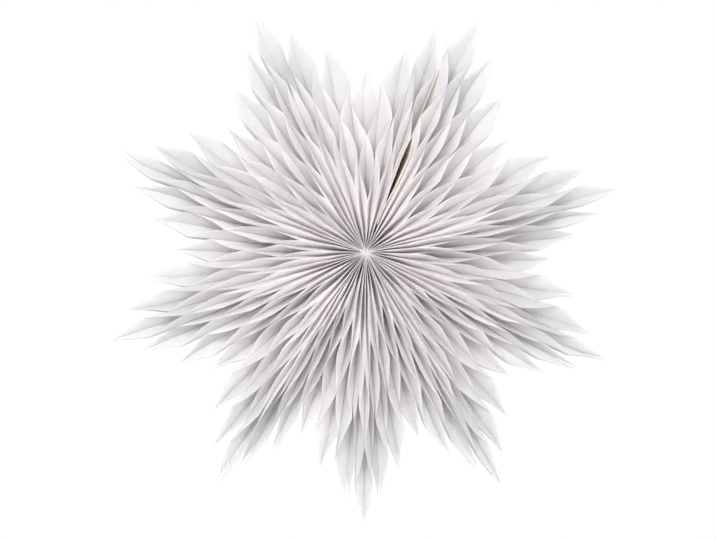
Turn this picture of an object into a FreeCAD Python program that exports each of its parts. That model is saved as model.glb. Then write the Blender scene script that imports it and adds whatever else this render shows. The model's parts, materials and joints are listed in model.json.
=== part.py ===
import FreeCAD, Part
import math
import os

# A folded-paper star: thin paper leaves stand on one hub axis like the pages of a book
# opened all the way round. Each leaf is two die-cut sheets, glued to each other and to
# their neighbours along radial lines, so that the opened star is a honeycomb. A thin card
# cover closes each end of the stack, and the two covers face each other at the seam.
#
# Millimetres and degrees. The hub axis is parallel to Y, the front of the star faces -Y, and
# directions round the hub run counter-clockwise from +X towards +Z, as seen from the front.
# The origin is the middle of the hole that the star hangs from.

# Outline of the leaves
TIP_LONG = 300.0         # hub axis to the tip of a longest leaf
TIP_SHORT = 212.0        # hub axis to the tip of a shortest leaf
CORNER_LONG = 124.0      # hub axis to the front and back corners of a longest leaf
CORNER_SHORT = 57.0      # hub axis to the front and back corners of a shortest leaf
HUB_RADIUS = 8.0         # inner edge of the leaves

# Honeycomb of the opened paper
STRIP_DEPTH = 17.5       # depth between neighbouring glue lines, at the hub
STRIPS_PER_SIDE = 4      # strips from the middle of a sheet to its front or back edge
DEPTH_LOSS = 0.5         # share of the depth that opening takes up, at TIP_LONG
PAPER = 0.15             # thickness of a sheet
GLUE_GAP = 0.10          # between two sheets at a glue line
BEND = 0.22              # share of a strip beside each glue line that has hardly turned
BEND_RISE = 0.12         # share of its way sideways that the strip has gone there

# Directions of the nine longest leaves and of the shortest leaf before each of them,
# counter-clockwise from the seam. The paper opens unevenly, as it does by hand.
LONG_DEG = [114.4, 157.5, 198.5, 236.7, 270.3, 301.5, 336.4, 375.3, 423.8]
SHORT_DEG = [89.6, 136.7, 177.9, 217.6, 250.4, 286.8, 320.3, 358.9, 399.0]
SECOND_SHARE = 0.242     # place of the second longest leaf from long to short direction
THIRD_SHARE = 0.584      # place of the third longest leaf from long to short direction

# Seam and covers
SEAM_DEG = 68.2          # middle of the seam
SEAM_OPENING_DEG = 3.0   # between the two faces that the covers are glued to
SEAM_LEAF_DEG = 3.4      # from the middle of the seam to the first leaf
CARD = 0.8               # thickness of a cover
COVER_HUB_RADIUS = 34.0  # inner edge of the covers
COVER_TIP = 268.0        # hub axis to the tip of a cover
COVER_CORNER = 90.0      # hub axis to the front and back corners of a cover
HOLE_RADIUS = 1.25       # punched holes for the thread that ties and hangs the star
HOLE_DEPTH = 40.0        # from the middle of the cover to the holes, towards the front
HANG_HOLE_RADIUS = 113.5  # hub axis to the outer hole
TIE_HOLE_RADIUS = 94.5   # hub axis to the inner hole

LEAF_STEPS = 3           # steps of length from a shortest leaf to a longest one
TURN = 360.0
FIRST_FACE_DEG = SEAM_DEG + SEAM_OPENING_DEG / 2
LAST_FACE_DEG = SEAM_DEG + TURN - SEAM_OPENING_DEG / 2


def outward(degrees):
    """Unit vector from the hub axis in a direction of the star's plane."""
    angle = math.radians(degrees)
    return FreeCAD.Vector(math.cos(angle), 0, math.sin(angle))


def sideways(degrees):
    """Unit vector square to outward(degrees), counter-clockwise."""
    return outward(degrees + 90.0)


def from_hub(radius, degrees, depth, shift):
    """Vector from the middle of the hub axis, shifted sideways by a length."""
    return outward(degrees) * radius + FreeCAD.Vector(0, depth, 0) + sideways(degrees) * shift


HUB = from_hub(HANG_HOLE_RADIUS, FIRST_FACE_DEG, -HOLE_DEPTH, -(GLUE_GAP + CARD) / 2) * -1


def at(radius, degrees, depth, shift):
    """Point of the star, shifted sideways by a length."""
    return HUB + from_hub(radius, degrees, depth, shift)


def tip_length(step):
    """Distance of a leaf's tip from the hub axis, in equal steps of length."""
    return TIP_SHORT + (TIP_LONG - TIP_SHORT) * step / LEAF_STEPS


def corner_length(step):
    """Distance of a leaf's front corner from the hub axis: equal ratios, not equal steps."""
    return CORNER_SHORT * (CORNER_LONG / CORNER_SHORT) ** (step / LEAF_STEPS)


def leaves():
    """Direction and length step of every leaf, counter-clockwise from the seam."""
    found = []
    before = LONG_DEG[-1] - TURN
    for long_deg, short_deg in zip(LONG_DEG, SHORT_DEG):
        falling = short_deg - before
        rising = long_deg - short_deg
        found.append((before + SECOND_SHARE * falling, 2))
        found.append((before + THIRD_SHARE * falling, 1))
        found.append((short_deg, 0))
        found.append((long_deg - THIRD_SHARE * rising, 1))
        found.append((long_deg - SECOND_SHARE * rising, 2))
        found.append((long_deg, 3))
        before = long_deg
    found[0] = (SEAM_DEG + SEAM_LEAF_DEG, 2)
    return found


def glue_directions(directions):
    """Directions of the glue lines between neighbouring leaves, with the seam's two faces."""
    between = [(a + b) / 2 for a, b in zip(directions, directions[1:])]
    return [FIRST_FACE_DEG] + between + [LAST_FACE_DEG]


def line_depth(line, radius):
    """Depth of a glue line at a radius: the strips turn sideways as the star opens."""
    left = 1 - DEPTH_LOSS * (radius / TIP_LONG) ** 2
    return line * STRIP_DEPTH * left


def face(*points):
    """Flat face through points in order."""
    return Part.Face(Part.makePolygon(list(points) + [points[0]]))


def pleats():
    """Stations across a sheet, front to back: place in strips from the middle of the sheet,
    and share of the way from the leaf's own glue lines to the neighbour's."""
    stations = []
    for line in range(-STRIPS_PER_SIDE, STRIPS_PER_SIDE):
        start = line % 2
        way = 1 - 2 * start
        stations.append((line, start))
        stations.append((line + BEND, start + way * BEND_RISE))
        stations.append((line + 1 - BEND, start + way * (1 - BEND_RISE)))
    return stations + [(STRIPS_PER_SIDE, STRIPS_PER_SIDE % 2)]


def sheet(middle, edge, tip, corner):
    """One pleated sheet: it meets its leaf's other sheet in the direction middle, and the
    neighbouring leaf in the direction edge."""
    side = 1 if edge > middle else -1
    inner, outer = [], []
    for place, share in pleats():
        reach = tip + (corner - tip) * abs(place) / STRIPS_PER_SIDE
        for radius, points in ((HUB_RADIUS, inner), (reach, outer)):
            depth = line_depth(place, radius)
            own = at(radius, middle, depth, side * (GLUE_GAP / 2 + PAPER))
            neighbour = at(radius, edge, depth, -side * GLUE_GAP / 2)
            points.append(own * (1 - share) + neighbour * share)
    thick = sideways((middle + edge) / 2) * (-side * PAPER)
    faces = []
    for i in range(len(inner) - 1):
        near, far = (inner[i], inner[i + 1]), (outer[i], outer[i + 1])
        for lift in (FreeCAD.Vector(), thick):
            faces.append(face(near[0] + lift, far[0] + lift, far[1] + lift))
            faces.append(face(near[0] + lift, far[1] + lift, near[1] + lift))
        faces.append(face(near[0], near[1], near[1] + thick, near[0] + thick))
        faces.append(face(far[0], far[1], far[1] + thick, far[0] + thick))
    for end in (0, -1):
        faces.append(face(inner[end], outer[end], outer[end] + thick, inner[end] + thick))
    return closed(faces)


def closed(faces):
    """Solid inside a closed set of faces."""
    shell = Part.Shell(faces)
    solid = Part.Solid(shell)
    if solid.Volume < 0:
        solid.reverse()
    return solid


def leaf(middle, right, left, step):
    """Two sheets glued to each other, between the glue lines of the two neighbours."""
    sizes = tip_length(step), corner_length(step)
    sheets = [sheet(middle, edge, *sizes) for edge in (right, left)]
    return Part.makeCompound(sheets)


def cover(degrees, side):
    """Card glued to the seam face in a direction, on the side that looks into the seam."""
    shift = side * GLUE_GAP / 2
    front = [(COVER_HUB_RADIUS, STRIPS_PER_SIDE), (COVER_CORNER, STRIPS_PER_SIDE), (COVER_TIP, 0)]
    back = [(COVER_CORNER, -STRIPS_PER_SIDE), (COVER_HUB_RADIUS, -STRIPS_PER_SIDE)]
    outline = [at(r, degrees, line_depth(line, r), shift) for r, line in front + back]
    card = face(*outline).extrude(sideways(degrees) * (side * CARD))
    for radius in (HANG_HOLE_RADIUS, TIE_HOLE_RADIUS):
        start = at(radius, degrees, -HOLE_DEPTH, shift - side * CARD)
        card = card.cut(Part.makeCylinder(HOLE_RADIUS, 3 * CARD, start, sideways(degrees) * side))
    return card


def main():
    os.makedirs("parts", exist_ok=True)
    found = leaves()
    glued = glue_directions([direction for direction, step in found])
    shapes = {}
    for i, (direction, step) in enumerate(found):
        shapes[f"leaf_{i + 1:02d}"] = leaf(direction, glued[i], glued[i + 1], step)
    shapes["cover_first"] = cover(glued[0], -1)
    shapes["cover_last"] = cover(glued[-1], 1)
    for name, shape in shapes.items():
        shape.exportStep(f"parts/{name}.step")
        if not shape.isValid():
            print(name, "isn't valid")
    print(len(shapes), "nodes,", round(sum(s.Volume for s in shapes.values()) / 1000, 1), "cm3")


main()
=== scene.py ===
# %% [markdown]
# # A folded-paper star
#
# The star is a stack of white paper leaves that has been opened all the way round, like a
# book whose covers meet. Each leaf is two sheets, glued to each other and to their neighbours
# along lines that run out from the hub, so the opened stack is a honeycomb of paper cells.
# The frame already has every leaf at its true place and size, in flat facets. This lesson
# gives the paper its soft curve between the glue lines, its loose tips and its finish.

# %% Load the frame
import json
import math
import bpy
import bmesh
import numpy as np
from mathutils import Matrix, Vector


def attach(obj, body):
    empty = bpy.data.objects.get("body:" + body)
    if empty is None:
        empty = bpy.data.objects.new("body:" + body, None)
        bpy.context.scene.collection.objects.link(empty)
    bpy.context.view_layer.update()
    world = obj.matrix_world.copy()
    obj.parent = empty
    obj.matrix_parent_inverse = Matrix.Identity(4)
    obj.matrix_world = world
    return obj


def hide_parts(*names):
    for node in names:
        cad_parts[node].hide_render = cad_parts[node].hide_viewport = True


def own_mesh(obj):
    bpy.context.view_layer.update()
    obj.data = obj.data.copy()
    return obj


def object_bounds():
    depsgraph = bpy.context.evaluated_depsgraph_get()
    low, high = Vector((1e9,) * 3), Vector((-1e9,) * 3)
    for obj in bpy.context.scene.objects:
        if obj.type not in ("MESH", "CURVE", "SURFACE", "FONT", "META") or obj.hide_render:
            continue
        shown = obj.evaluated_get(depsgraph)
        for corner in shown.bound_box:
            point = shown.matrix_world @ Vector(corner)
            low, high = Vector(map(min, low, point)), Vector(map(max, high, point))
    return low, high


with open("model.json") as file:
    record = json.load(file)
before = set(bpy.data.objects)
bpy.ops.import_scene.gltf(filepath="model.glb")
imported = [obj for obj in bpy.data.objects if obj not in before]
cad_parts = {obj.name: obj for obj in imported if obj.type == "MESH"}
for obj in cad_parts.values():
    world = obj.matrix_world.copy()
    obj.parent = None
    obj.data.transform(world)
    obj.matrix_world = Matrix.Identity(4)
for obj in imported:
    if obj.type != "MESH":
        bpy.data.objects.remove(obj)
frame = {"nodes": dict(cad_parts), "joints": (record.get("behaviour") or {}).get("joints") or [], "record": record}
cad_low, cad_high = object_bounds()
joints = {joint["name"]: joint for joint in frame["joints"]}
HUB = np.array(joints["fan_fold"]["pos_m"])
BODY_OF = {
    node: body
    for body, nodes in frame["record"]["behaviour"]["bodies"].items()
    for node in nodes
}
LEAVES = sorted(node for node in BODY_OF if node.startswith("leaf"))
print(len(LEAVES), "leaves round a hub at", HUB)

# %% [markdown]
# ## Reading each leaf from the frame
#
# A leaf could be described again here, number by number, but then it could drift away from
# the frame. Its mesh already says everything: the vertex farthest from the hub axis is the
# tip, the deepest vertex away from the hub is a corner, and the directions to the
# outermost vertices on either side are the glue lines to the neighbours.

# %% Measure the leaves
INNER_ZONE = 0.040      # nearer the hub than this, directions are too coarse to read


def polar(points):
    """Radius from the hub axis, direction in radians from +X towards +Z, and depth."""
    x, y, z = (points - HUB).T
    return np.hypot(x, z), np.arctan2(z, x), y


def measure(node):
    """Tip, corner and directions of one leaf of the frame."""
    mesh = frame["nodes"][node].data
    flat = np.empty(len(mesh.vertices) * 3, dtype=np.float32)
    mesh.vertices.foreach_get("co", flat)
    radius, angle, depth = polar(flat.reshape(-1, 3).astype(float))
    far = np.argmax(radius)
    outer = radius > INNER_ZONE
    turned = (angle[outer] - angle[far] + np.pi) % (2 * np.pi) - np.pi
    corner = np.argmax(np.where(outer, np.abs(depth), 0))
    return {
        "node": node,
        "tip": radius[far],
        "corner": radius[corner],
        "middle": angle[far],
        "right": angle[far] + turned.min(),
        "left": angle[far] + turned.max(),
    }


leaves = [measure(node) for node in LEAVES]
LONGEST = max(leaf["tip"] for leaf in leaves)
HALF_DEPTH = (cad_high[1] - cad_low[1]) / 2
print("longest leaf", round(LONGEST, 4), "m, half depth", round(HALF_DEPTH, 4), "m")

# %% [markdown]
# ## The surface of a sheet
#
# Between two glue lines a strip of paper is nearly straight, and at each line it turns in a
# small crease. Along the sheet every line is straight from the hub to the cut edge. That
# gives the whole sheet as a function of two parameters: the place across it, counted in
# strips, and the way out. The stations across are closer beside the glue lines, where the
# paper bends.

# %% Shape of the paper
STRIPS = 4              # strips from the middle of a sheet to its front or back edge
DEPTH_LOSS = 0.5        # share of the depth that opening takes up at the longest tip
HUB_EDGE = 0.0005       # the leaves' inner edges, pressed together at the hub
PAPER = 0.00016         # thickness of a sheet
GLUE = 0.00005          # half of the gap between glued sheets
CREASE = 0.10           # share of a strip that a crease rounds off
TIP_ZONE = 0.90         # way out at which a tip starts to lean or part
BUCKLE_ZONE = 0.1, 0.5  # way out at which the paper starts to buckle, and buckles fully
ALONG = 18              # grid steps from the hub to the cut edge
CROWDING = 0.9          # power of the way out that crowds the steps towards the cut edge
IN_STRIP = np.array([0, 0.06, 0.16, 0.33, 0.50, 0.67, 0.84, 0.94])  # stations in a strip
STATIONS = np.append((np.arange(-STRIPS, STRIPS)[:, None] + IN_STRIP).ravel(), STRIPS)
SEED = 11
random = np.random.default_rng(SEED)
print("a sheet is a grid of", len(STATIONS), "by", ALONG + 1, "points")


def smooth(value, low, high):
    """0 below low, 1 above high, and a smooth step between them."""
    t = np.clip((value - low) / (high - low), 0, 1)
    return t * t * (3 - 2 * t)


def share_of_strip(place, fullness):
    """0 on the leaf's own glue lines, 1 on its neighbour's.

    A straight zigzag of the place, rounded by a crease at both ends. fullness swells it
    towards the neighbour, as paper that is stiff does, or hollows it where it is negative.
    """
    zigzag = np.abs((place + 1) % 2 - 1)

    def rounded(t):
        return np.hypot(t, CREASE) - np.hypot(1 - t, CREASE)

    share = (rounded(zigzag) - rounded(0)) / (rounded(1) - rounded(0))
    return share + fullness * share * (1 - share)


def line_depth(place, radius):
    """Depth of a place of the sheet: the strips turn sideways as the star opens."""
    return place / STRIPS * HALF_DEPTH * (1 - DEPTH_LOSS * (radius / LONGEST) ** 2)


def sheet_points(leaf, side, temper):
    """Points of a sheet on a grid, place across it by way out, and its sideways directions.

    The direction goes from the leaf's own line to the neighbour's line by the share of the
    strip. Both lines are twisted a little towards their front and back ends. Near the cut
    edge the tip leans, and parts from the other sheet's tip. A low wave between the glue
    lines buckles the paper.
    """
    steps = np.linspace(0, 1, ALONG + 1) ** CROWDING
    place, way = np.meshgrid(STATIONS, steps, indexing="ij")
    share = share_of_strip(place, temper["fullness"])
    reach = leaf["tip"] + (leaf["corner"] - leaf["tip"]) * np.abs(place) / STRIPS
    radius = HUB_EDGE + (reach - HUB_EDGE) * way
    depth = line_depth(place, radius)
    own = leaf["middle"] + twist(leaf["twist"], place)
    edge = leaf["edges"][side](place, radius)
    angle = own + (edge - own) * share
    loose = smooth(way, TIP_ZONE, 1.0) * (1 - share)
    angle = angle + loose * (temper["lean"] + SIGN[side] * temper["parting"])
    rate, skew, start, height = temper["buckle"]
    wave = np.sin(way * rate + place * skew + start) * height
    shift = SIGN[side] * (GLUE + PAPER / 2) * (1 - 2 * share)
    shift = shift + wave * smooth(way, *BUCKLE_ZONE) * 4 * share * (1 - share)
    outward = np.stack([np.cos(angle), np.zeros_like(angle), np.sin(angle)], axis=-1)
    sideways = np.stack([-np.sin(angle), np.zeros_like(angle), np.cos(angle)], axis=-1)
    points = HUB + outward * radius[..., None] + sideways * shift[..., None]
    points[..., 1] += depth
    return points, sideways


# %% [markdown]
# ## How the stack opens
#
# Nobody opens a paper star evenly. The front and back ends of the glue lines run a little
# ahead of the middle or behind it, and neighbours share that twist, since they are glued.
# At the seam the covers aren't glued to each other. They nearly meet, and spread only at the
# front, about a third of the way out, where the seam gapes in a narrow slit and shows their
# inner faces. A turn that depends on place and radius gives both leaves and covers that slit.

# %% Twist of the leaves and spread of the seam
SIGN = {"right": -1, "left": 1}
TWIST = math.radians(0.9)       # most that an end of a leaf's line is twisted
SPREAD = 0.02, 0.05             # radius at which the seam leaves its faces of the frame
GAPE_OPENS = 0.04, 0.08         # radius at which its front starts to gape, and gapes fully
GAPE_CLOSES = 0.118, 0.150      # radius at which the gape starts to close, and is closed
COVER_CORNER, COVER_TIP = 0.090, 0.268  # radius of a cover's corners and of its tip
NARROWEST = 0.02                # least share of a cover's width that is divided by
SEAM_FRONT = {"right": math.radians(0.1), "left": math.radians(1.5)}    # gape of each face
SEAM_BACK = math.radians(1.35)  # how far the covers have closed up elsewhere


def twist(ends, place):
    """Twist of a line at a place: the square of the place, apart for front and back."""
    front, back = ends
    forward, backward = np.clip(-place, 0, None), np.clip(place, 0, None)
    return (forward**2 * front + backward**2 * back) / STRIPS**2


def seam_spread(side, place, radius):
    """Turn of the seam's face on a leaf's side: open at the front, closed up at the back.

    It goes evenly from the cover's front edge to its middle, and is closed from there to
    the back edge, wherever the cover's edges are at the radius.
    """
    taper = (COVER_TIP - radius) / (COVER_TIP - COVER_CORNER)
    across = np.clip(place / (STRIPS * np.clip(taper, NARROWEST, 1)), -1, 1)
    gaping = smooth(radius, *GAPE_OPENS) * (1 - smooth(radius, *GAPE_CLOSES))
    front = (SEAM_FRONT[side] + SEAM_BACK) * gaping - SEAM_BACK
    opened = (front + SEAM_BACK) * np.clip(-across, 0, 1) - SEAM_BACK
    return -SIGN[side] * opened * smooth(radius, *SPREAD)


def glued_edge(leaf, side, ends):
    """Direction of the line that a leaf is glued to on one side, by place and radius.

    A leaf with no neighbour on that side, and so with no ends, is glued to a cover.
    """
    if ends is None:
        return lambda place, radius: leaf[side] + seam_spread(side, place, radius)
    return lambda place, radius: leaf[side] + twist(ends, place)


for leaf in leaves:
    leaf["twist"] = random.uniform(-TWIST, TWIST, 2)
for i, leaf in enumerate(leaves):
    before = (leaf["twist"] + leaves[i - 1]["twist"]) / 2 if i > 0 else None
    after = (leaf["twist"] + leaves[i + 1]["twist"]) / 2 if i + 1 < len(leaves) else None
    leaf["edges"] = {
        "right": glued_edge(leaf, "right", before),
        "left": glued_edge(leaf, "left", after),
    }
twists = [math.degrees(abs(leaf["twist"]).max()) for leaf in leaves]
print("leaves are twisted by", round(min(twists), 2), "to", round(max(twists), 2), "degrees")

# %% [markdown]
# ## From a grid to a sheet of paper
#
# A surface alone has no thickness. The grid is copied half a thickness to each side and the
# two copies are joined round the rim, which leaves a closed body that can be cut or printed.

# %% Closed sheets
SHARP_DEG = 60          # between two faces, from which an edge is shaded as sharp


def slab(points, sideways):
    """Vertices and quads of a closed thin sheet round a grid of points.

    The grid is moved half a thickness each way, and a rim of quads joins the two.
    """
    rows, columns = points.shape[:2]
    faces_up = (points + sideways * PAPER / 2).reshape(-1, 3)
    faces_down = (points - sideways * PAPER / 2).reshape(-1, 3)
    count = rows * columns
    index = np.arange(count).reshape(rows, columns)
    a, b = index[:-1, :-1], index[1:, :-1]
    c, d = index[1:, 1:], index[:-1, 1:]
    up = np.stack([a, b, c, d], axis=-1).reshape(-1, 4)
    down = up[:, ::-1] + count
    loop = np.concatenate([index[:, 0], index[-1, 1:], index[-2::-1, -1], index[0, -2:0:-1]])
    after = np.roll(loop, -1)
    rim = np.stack([after, loop, loop + count, after + count], axis=-1)
    return np.concatenate([faces_up, faces_down]), np.concatenate([up, down, rim])


def make_mesh(name, parts):
    """A mesh of one or more (vertices, quads) parts, with faces that point outwards."""
    start, vertices, quads = 0, [], []
    for part_vertices, part_quads in parts:
        vertices.append(part_vertices)
        quads.append(part_quads + start)
        start += len(part_vertices)
    vertices, quads = np.concatenate(vertices), np.concatenate(quads)
    mesh = bpy.data.meshes.new(name)
    mesh.from_pydata(vertices.tolist(), [], quads.tolist())
    cleaner = bmesh.new()
    cleaner.from_mesh(mesh)
    bmesh.ops.recalc_face_normals(cleaner, faces=cleaner.faces)
    cleaner.to_mesh(mesh)
    cleaner.free()
    mesh.shade_smooth()
    mesh.set_sharp_from_angle(angle=math.radians(SHARP_DEG))
    return mesh


# %% [markdown]
# ## Shader maths
#
# Paper has no picture on it, so its finish is all small formulas: fibres, faint clouds and
# a change with the distance from the hub, of the translucent share and of a painted light
# and shade. A small class lets such a formula be written as Python, and adds the nodes as it goes.

# %% Socket arithmetic
class Signal:
    """A shader socket that can be used in arithmetic, each operation adding a Math node."""

    def __init__(self, finish, socket):
        self.finish, self.socket = finish, socket

    def combine(self, operation, first, second):
        terms = {0: first, 1: second}
        return self.finish.node("ShaderNodeMath", {"operation": operation}, terms)

    def __add__(self, other):
        return self.combine("ADD", self, other)

    def __mul__(self, other):
        return self.combine("MULTIPLY", self, other)

    def __sub__(self, other):
        return self.combine("SUBTRACT", self, other)

    def __rsub__(self, other):
        return self.combine("SUBTRACT", other, self)

    def __truediv__(self, other):
        return self.combine("DIVIDE", self, other)

    __radd__ = __add__
    __rmul__ = __mul__


class Finish:
    """A material whose nodes are added by one method."""

    def __init__(self, name):
        self.material = bpy.data.materials.new(name)
        self.material.use_nodes = True
        self.tree = self.material.node_tree
        self.tree.nodes.clear()

    def node(self, kind, settings, sockets, output=0):
        """Adds a node: its settings first, then the values or links of its sockets."""
        made = self.tree.nodes.new(kind)
        for name, value in settings.items():
            if name == "stops":
                ramp = made.color_ramp.elements
                for element, (place, colour) in zip((ramp[0], ramp[1]), value):
                    element.position, element.color = place, colour
            else:
                setattr(made, name, value)
        for name, value in sockets.items():
            if isinstance(value, Signal):
                self.tree.links.new(value.socket, made.inputs[name])
            else:
                made.inputs[name].default_value = value
        return Signal(self, made.outputs[output]) if made.outputs else made


# %% [markdown]
# ## White paper
#
# The real paper is matt, white and translucent: light that falls on one side of a leaf shows
# on the other. A plain diffuse surface would leave the deep cells dark, so a matt shader is
# mixed with a translucent one. Nearly all of the mix is translucent at the hub, where the
# leaves are packed, and less than half of it at the tips. The matt colour changes too, from
# a warm white near the hub, which is painted light in the packed cells, to a light grey at
# the tips, which is painted shade. The real paper is one white all over: both changes only
# stand in for its very even brightness in the photograph, which a single white didn't give
# here. Fibres are a very low relief, and faint clouds shift the colour.

# %% Paper finish
# The warm white near the hub is painted light, and the grey at the tips is painted shade.
HUB_PAINTED_LIGHT = (0.985, 0.955, 0.957, 1)   # of the matt part near the hub
TIP_PAINTED_SHADE = (0.62, 0.625, 0.64, 1)     # of the matt part at the tips
GLOW = (0.985, 0.970, 0.972, 1)         # of the light that comes through
PAINTED_LIGHT_TO_SHADE_ZONE = 0.10, 0.75                # distances, as shares of LONGEST, between the two
THROUGH_AT_HUB = 0.96                   # translucent share at the hub
THROUGH_LOST = 0.56                     # how much of it is lost at the longest tip
CLOUD_SCALE, CLOUD_SHIFT, CLOUD_HEIGHT = 30.0, 0.5, 2.0
FIBRE_SCALE = 900.0


def paper_finish():
    """Principled mixed with a share of Translucent that falls with the distance from the hub.

    Share: THROUGH_AT_HUB less THROUGH_LOST times the distance as a part of LONGEST.
    """
    finish = Finish("white paper")
    place = finish.node("ShaderNodeTexCoord", {}, {}, "Object")
    hub = finish.node(
        "ShaderNodeVectorMath", {"operation": "SUBTRACT"}, {0: place, 1: tuple(HUB)}
    )
    distance = finish.node("ShaderNodeVectorMath", {"operation": "LENGTH"}, {0: hub}, "Value")
    clouds = finish.node(
        "ShaderNodeTexNoise", {}, {"Vector": place, "Scale": CLOUD_SCALE, "Detail": 3.0}
    )
    fibres = finish.node(
        "ShaderNodeTexNoise", {}, {"Vector": place, "Scale": FIBRE_SCALE, "Detail": 4.0}
    )
    outward = distance / LONGEST + (clouds - 0.5) * CLOUD_SHIFT
    # Painted light near the hub turns to painted shade at the tips with the distance, and the clouds shift where
    # it turns.
    colour = finish.node(
        "ShaderNodeValToRGB",
        {"stops": list(zip(PAINTED_LIGHT_TO_SHADE_ZONE, (HUB_PAINTED_LIGHT, TIP_PAINTED_SHADE)))},
        {"Fac": outward},
        "Color",
    )
    relief = finish.node(
        "ShaderNodeBump",
        {},
        {"Height": fibres + clouds * CLOUD_HEIGHT, "Strength": 0.12, "Distance": 0.0006},
        "Normal",
    )
    solid = finish.node(
        "ShaderNodeBsdfPrincipled",
        {},
        {
            "Base Color": colour,
            "Roughness": 0.78 + fibres * 0.12,
            "Specular IOR Level": 0.25,
            "Normal": relief,
        },
    )
    through = finish.node(
        "ShaderNodeBsdfTranslucent", {}, {"Color": GLOW, "Normal": relief}
    )
    share = THROUGH_AT_HUB - distance / LONGEST * THROUGH_LOST
    both = finish.node("ShaderNodeMixShader", {}, {0: share, 1: solid, 2: through})
    finish.node("ShaderNodeOutputMaterial", {}, {"Surface": both})
    return finish.material


paper = paper_finish()
print("paper finish:", len(paper.node_tree.nodes), "nodes")

# %% [markdown]
# ## Cream card
#
# The covers at the two ends of the stack are plain cream card, thicker than the paper. Most
# of the mix is translucent here, as in the paper that they are glued to, so that some light
# gets into the narrow seam. Short fibres show as small light and dark flecks.

# %% Card finish
DARK_CREAM = (0.88, 0.83, 0.76, 1)
LIGHT_CREAM = (0.94, 0.90, 0.84, 1)
CREAM_GLOW = (0.97, 0.95, 0.91, 1)      # of the light that comes through
CREAM_ZONE = 0.30, 0.72                 # strengths of the flecks between the two creams
CARD_THROUGH = 0.80                     # translucent share of the card
FLECK_SHARE, CARD_CLOUD_SHARE = 0.6, 0.4


def card_finish():
    """Cream card with fine flecks: the colour goes by flecks and clouds, in fixed shares."""
    finish = Finish("cream card")
    place = finish.node("ShaderNodeTexCoord", {}, {}, "Object")
    flecks = finish.node(
        "ShaderNodeTexNoise", {}, {"Vector": place, "Scale": 700.0, "Detail": 5.0}
    )
    clouds = finish.node(
        "ShaderNodeTexNoise", {}, {"Vector": place, "Scale": 45.0, "Detail": 2.0}
    )
    colour = finish.node(
        "ShaderNodeValToRGB",
        {"stops": list(zip(CREAM_ZONE, (DARK_CREAM, LIGHT_CREAM)))},
        {"Fac": flecks * FLECK_SHARE + clouds * CARD_CLOUD_SHARE},
        "Color",
    )
    relief = finish.node(
        "ShaderNodeBump", {}, {"Height": flecks, "Strength": 0.2, "Distance": 0.0004}, "Normal"
    )
    solid = finish.node(
        "ShaderNodeBsdfPrincipled",
        {},
        {"Base Color": colour, "Roughness": 0.75 + flecks * 0.15, "Normal": relief},
    )
    through = finish.node(
        "ShaderNodeBsdfTranslucent", {}, {"Color": CREAM_GLOW, "Normal": relief}
    )
    both = finish.node("ShaderNodeMixShader", {}, {0: CARD_THROUGH, 1: solid, 2: through})
    finish.node("ShaderNodeOutputMaterial", {}, {"Surface": both})
    return finish.material


card = card_finish()
print("card finish:", len(card.node_tree.nodes), "nodes")

# %% [markdown]
# ## The leaves
#
# Each leaf replaces its node of the frame. On some leaves the two sheets part a little at the
# tip, where the glue stops, each by its own amount, and every leaf leans a little, because it
# is opened by hand.

# %% Directions of the points
def point_middle(body):
    """Direction of the middle of a point: halfway between its outermost glue lines."""
    own = [leaf for leaf in leaves if BODY_OF[leaf["node"]] == body]
    first, last = own[0], own[-1]
    span = (last["left"] - first["right"]) % (2 * np.pi)
    return first["right"] + span / 2


point_bodies = sorted(body for body in set(BODY_OF.values()) if body.startswith("point"))
middles = {body: point_middle(body) for body in point_bodies}
print({body: round(math.degrees(middle) % 360, 1) for body, middle in middles.items()})

# %% Make the leaves
FULLNESS = -0.55, 0.55  # how hollow or how full a strip is between its glue lines
LEAN = 0.014            # radians by which a tip leans, at most
PARTED_SHARE = 0.4      # of the leaves whose two tips part
PARTING = 0.003, 0.009  # radians by which each of such tips parts from the leaf's middle
BUCKLE = 0.0011         # height of the buckling waves
WAVE_RATE = 6, 11       # radians of a wave from the hub to the cut edge
WAVE_SKEW = -1, 1       # radians that it shifts by from strip to strip
WAVE_START = 0, 6       # radians at which it starts


def sheet_temper(lean, parted):
    """How one sheet differs from the others."""
    return {
        "fullness": random.uniform(*FULLNESS),
        "lean": lean,
        "parting": random.uniform(*PARTING) * parted,
        "buckle": (
            random.uniform(*WAVE_RATE),
            random.uniform(*WAVE_SKEW),
            random.uniform(*WAVE_START),
            BUCKLE,
        ),
    }


def make_leaf(leaf):
    """The two sheets of a leaf, as one piece that stands for its node."""
    lean = random.uniform(-LEAN, LEAN)
    parted = random.uniform() < PARTED_SHARE
    parts = [slab(*sheet_points(leaf, side, sheet_temper(lean, parted))) for side in SIGN]
    name = "paper_" + leaf["node"]
    piece = bpy.data.objects.new(name, make_mesh(name, parts))
    bpy.context.scene.collection.objects.link(piece)
    piece.data.materials.append(paper)
    body = BODY_OF[leaf["node"]]
    across = middles[body] + np.pi / 2
    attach(piece, body)
    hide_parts(leaf["node"])
    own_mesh(piece)
    return piece


pieces = [make_leaf(leaf) for leaf in leaves]
print(len(pieces), "leaves,", sum(len(p.data.polygons) for p in pieces), "quads")

# %% [markdown]
# ## The covers
#
# A cover is a flat card with two punched holes, glued to the first or last face of the stack.
# Its outline and holes are already right in the frame. Because the card gives way with the
# paper it is glued to, a copy is cut into small facets, and each of its points takes the
# same turn as the seam's face has there.

# %% Make the covers
FACET = 0.012           # distance between the cuts
SAME_PLACE = 1e-6       # vertices nearer than this are one
ON_CUT = 1e-7           # vertices nearer to a cut than this lie on it
COVERS = {"cover_first": (leaves[0], "right"), "cover_last": (leaves[-1], "left")}


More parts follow.
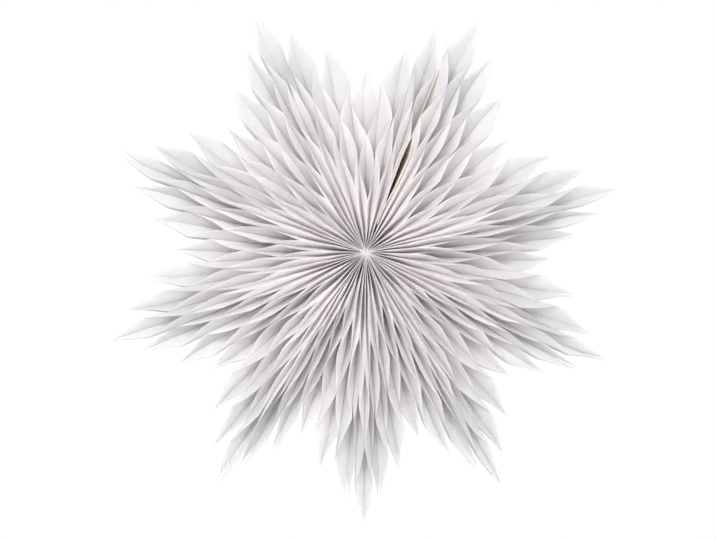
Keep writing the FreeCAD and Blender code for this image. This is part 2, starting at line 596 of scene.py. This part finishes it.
def cut_up(mesh, size):
    """Merges a loose mesh and cuts it by planes across all three axes, size apart."""
    cleaner = bmesh.new()
    cleaner.from_mesh(mesh)
    bmesh.ops.remove_doubles(cleaner, verts=cleaner.verts, dist=SAME_PLACE)
    for axis in range(3):
        values = [vertex.co[axis] for vertex in cleaner.verts]
        normal = Vector([float(i == axis) for i in range(3)])
        for level in np.arange(min(values) + size / 2, max(values), size):
            everything = cleaner.verts[:] + cleaner.edges[:] + cleaner.faces[:]
            bmesh.ops.bisect_plane(
                cleaner,
                geom=everything,
                dist=ON_CUT,
                plane_co=normal * level,
                plane_no=normal,
            )
    cleaner.to_mesh(mesh)
    cleaner.free()


def make_cover(node):
    """A copy of a cover of the frame that follows the seam's face."""
    leaf, side = COVERS[node]
    name = "card_" + node
    mesh = frame["nodes"][node].data.copy()
    mesh.name = name
    cut_up(mesh, FACET)
    flat = np.empty(len(mesh.vertices) * 3, dtype=np.float32)
    mesh.vertices.foreach_get("co", flat)
    points = flat.reshape(-1, 3).astype(float)
    radius, angle, depth = polar(points)
    place = depth / line_depth(1, radius)
    angle = angle + seam_spread(side, place, radius)
    points[:, 0] = HUB[0] + radius * np.cos(angle)
    points[:, 2] = HUB[2] + radius * np.sin(angle)
    mesh.vertices.foreach_set("co", points.astype(np.float32).ravel())
    mesh.materials.clear()
    mesh.materials.append(card)
    piece = bpy.data.objects.new(name, mesh)
    bpy.context.scene.collection.objects.link(piece)
    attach(piece, BODY_OF[node])
    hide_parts(node)
    print(name, len(mesh.polygons), "faces")


for node in COVERS:
    make_cover(node)

# %% [markdown]
# ## Floor
#
# The star hangs above a plain pale floor, which is far enough below to stay out of the
# photograph's view. A flat disc needs no more than a ring of vertices and one face.

# %% Floor
FLOOR_DROP = 0.62       # from the hub to the floor
FLOOR_RADIUS = 1.3
FLOOR_CORNERS = 96


def make_floor():
    """A pale round floor below the hanging star, on a ring of vertices."""
    turn = np.linspace(0, 2 * np.pi, FLOOR_CORNERS, endpoint=False)
    ring = np.stack([np.cos(turn), np.sin(turn), np.zeros_like(turn)], axis=-1) * FLOOR_RADIUS
    ring += HUB + np.array([0, 0, -FLOOR_DROP])
    mesh = bpy.data.meshes.new("floor")
    mesh.from_pydata(ring.tolist(), [], [list(range(len(ring)))])
    floor = bpy.data.objects.new("floor", mesh)
    bpy.context.scene.collection.objects.link(floor)
    finish = Finish("floor")
    solid = finish.node(
        "ShaderNodeBsdfPrincipled", {}, {"Base Color": (0.9, 0.9, 0.9, 1), "Roughness": 0.9}
    )
    finish.node("ShaderNodeOutputMaterial", {}, {"Surface": solid})
    mesh.materials.append(finish.material)


make_floor()
print("floor", FLOOR_DROP, "m below the hub")

# %% [markdown]
# ## Surround
#
# The photograph has a white background and soft light from all round. A world as bright as
# that white would put too much light on the star, so the world has two backgrounds. A plain
# one lights the star, and Light Path's Is Camera Ray shows a white one to the camera alone.

# %% Surround
SURROUND = 0.64         # strength of the light from all round


def make_surround():
    """A plain surround that lights the star, and is white where the camera sees it."""
    world = bpy.data.worlds.new("surround")
    bpy.context.scene.world = world
    world.use_nodes = True
    tree = world.node_tree
    tree.nodes.clear()
    path = tree.nodes.new("ShaderNodeLightPath")
    plain = tree.nodes.new("ShaderNodeBackground")
    plain.inputs["Strength"].default_value = SURROUND
    white = tree.nodes.new("ShaderNodeBackground")
    seen = tree.nodes.new("ShaderNodeMixShader")
    out = tree.nodes.new("ShaderNodeOutputWorld")
    for background in (plain, white):
        background.inputs["Color"].default_value = (1, 1, 1, 1)
    tree.links.new(path.outputs["Is Camera Ray"], seen.inputs[0])
    tree.links.new(plain.outputs[0], seen.inputs[1])
    tree.links.new(white.outputs[0], seen.inputs[2])
    tree.links.new(seen.outputs[0], out.inputs["Surface"])


make_surround()
bpy.context.scene.view_settings.view_transform = "Standard"
print("surround at strength", SURROUND)

# %% [markdown]
# ## Lamps
#
# A broad soft lamp above and to the left of the camera shapes the ridges. A weaker one on
# the right softens their shaded sides. A third stands behind the star: it shines through the
# paper, as daylight does through a star in a window, and lights the back.

# %% Lamps
LAMPS = {               # offset from the hub and width in metres, power in watts
    "key": ((-0.9, -2.4, 1.1), 1.5, 74),
    "fill": ((0.9, -2.6, -0.2), 1.8, 40),
    "rim": ((-0.5, 2.6, 0.9), 1.8, 24),
}


def aim(thing, start, target):
    """Puts a lamp or camera at start, looking at target."""
    thing.location = start
    thing.rotation_euler = (Vector(target) - Vector(start)).to_track_quat("-Z", "Y").to_euler()


def soft_lamp(name, offset, width, power):
    """A square area lamp that faces the hub, at an offset from it."""
    light = bpy.data.lights.new(name, "AREA")
    light.size = width
    light.energy = power
    lamp = bpy.data.objects.new(name, light)
    bpy.context.scene.collection.objects.link(lamp)
    aim(lamp, HUB + np.array(offset), HUB)


for name, (offset, width, power) in LAMPS.items():
    soft_lamp(name, offset, width, power)
print(len(LAMPS), "lamps")

# %% [markdown]
# ## Camera
#
# The camera stands a little below and to the left of the hub, because the front end of the
# hub is seen a little above and to the right of the middle of the circle of tips.

# %% Camera
SENSOR = 36.0               # width in mm
PHOTO_WIDTH = 716           # in pixels
MM_PER_PIXEL = 1.132        # at the plane of the tips
CAMERA_DISTANCE = 2.4
CAMERA_LEFT_DEG = 2.1
CAMERA_BELOW_DEG = 3.9
FARTHEST = 20               # metres that the camera sees
AIM_OFFSET = (-0.006, 0, -0.0147)   # from the hub to the middle of the picture


def make_camera():
    """A long lens whose frame is the photograph's at the distance of the star."""
    data = bpy.data.cameras.new("camera")
    data.sensor_width = SENSOR
    data.lens = SENSOR * CAMERA_DISTANCE / (PHOTO_WIDTH * MM_PER_PIXEL / 1000)
    data.clip_end = FARTHEST
    camera = bpy.data.objects.new("camera", data)
    bpy.context.scene.collection.objects.link(camera)
    left, below = math.radians(CAMERA_LEFT_DEG), math.radians(CAMERA_BELOW_DEG)
    target = HUB + np.array(AIM_OFFSET)
    back = np.array([
        -math.sin(left) * math.cos(below),
        -math.cos(left) * math.cos(below),
        -math.sin(below),
    ])
    aim(camera, target + back * CAMERA_DISTANCE, target)
    bpy.context.scene.camera = camera
    print("lens", round(data.lens, 1), "mm")


make_camera()
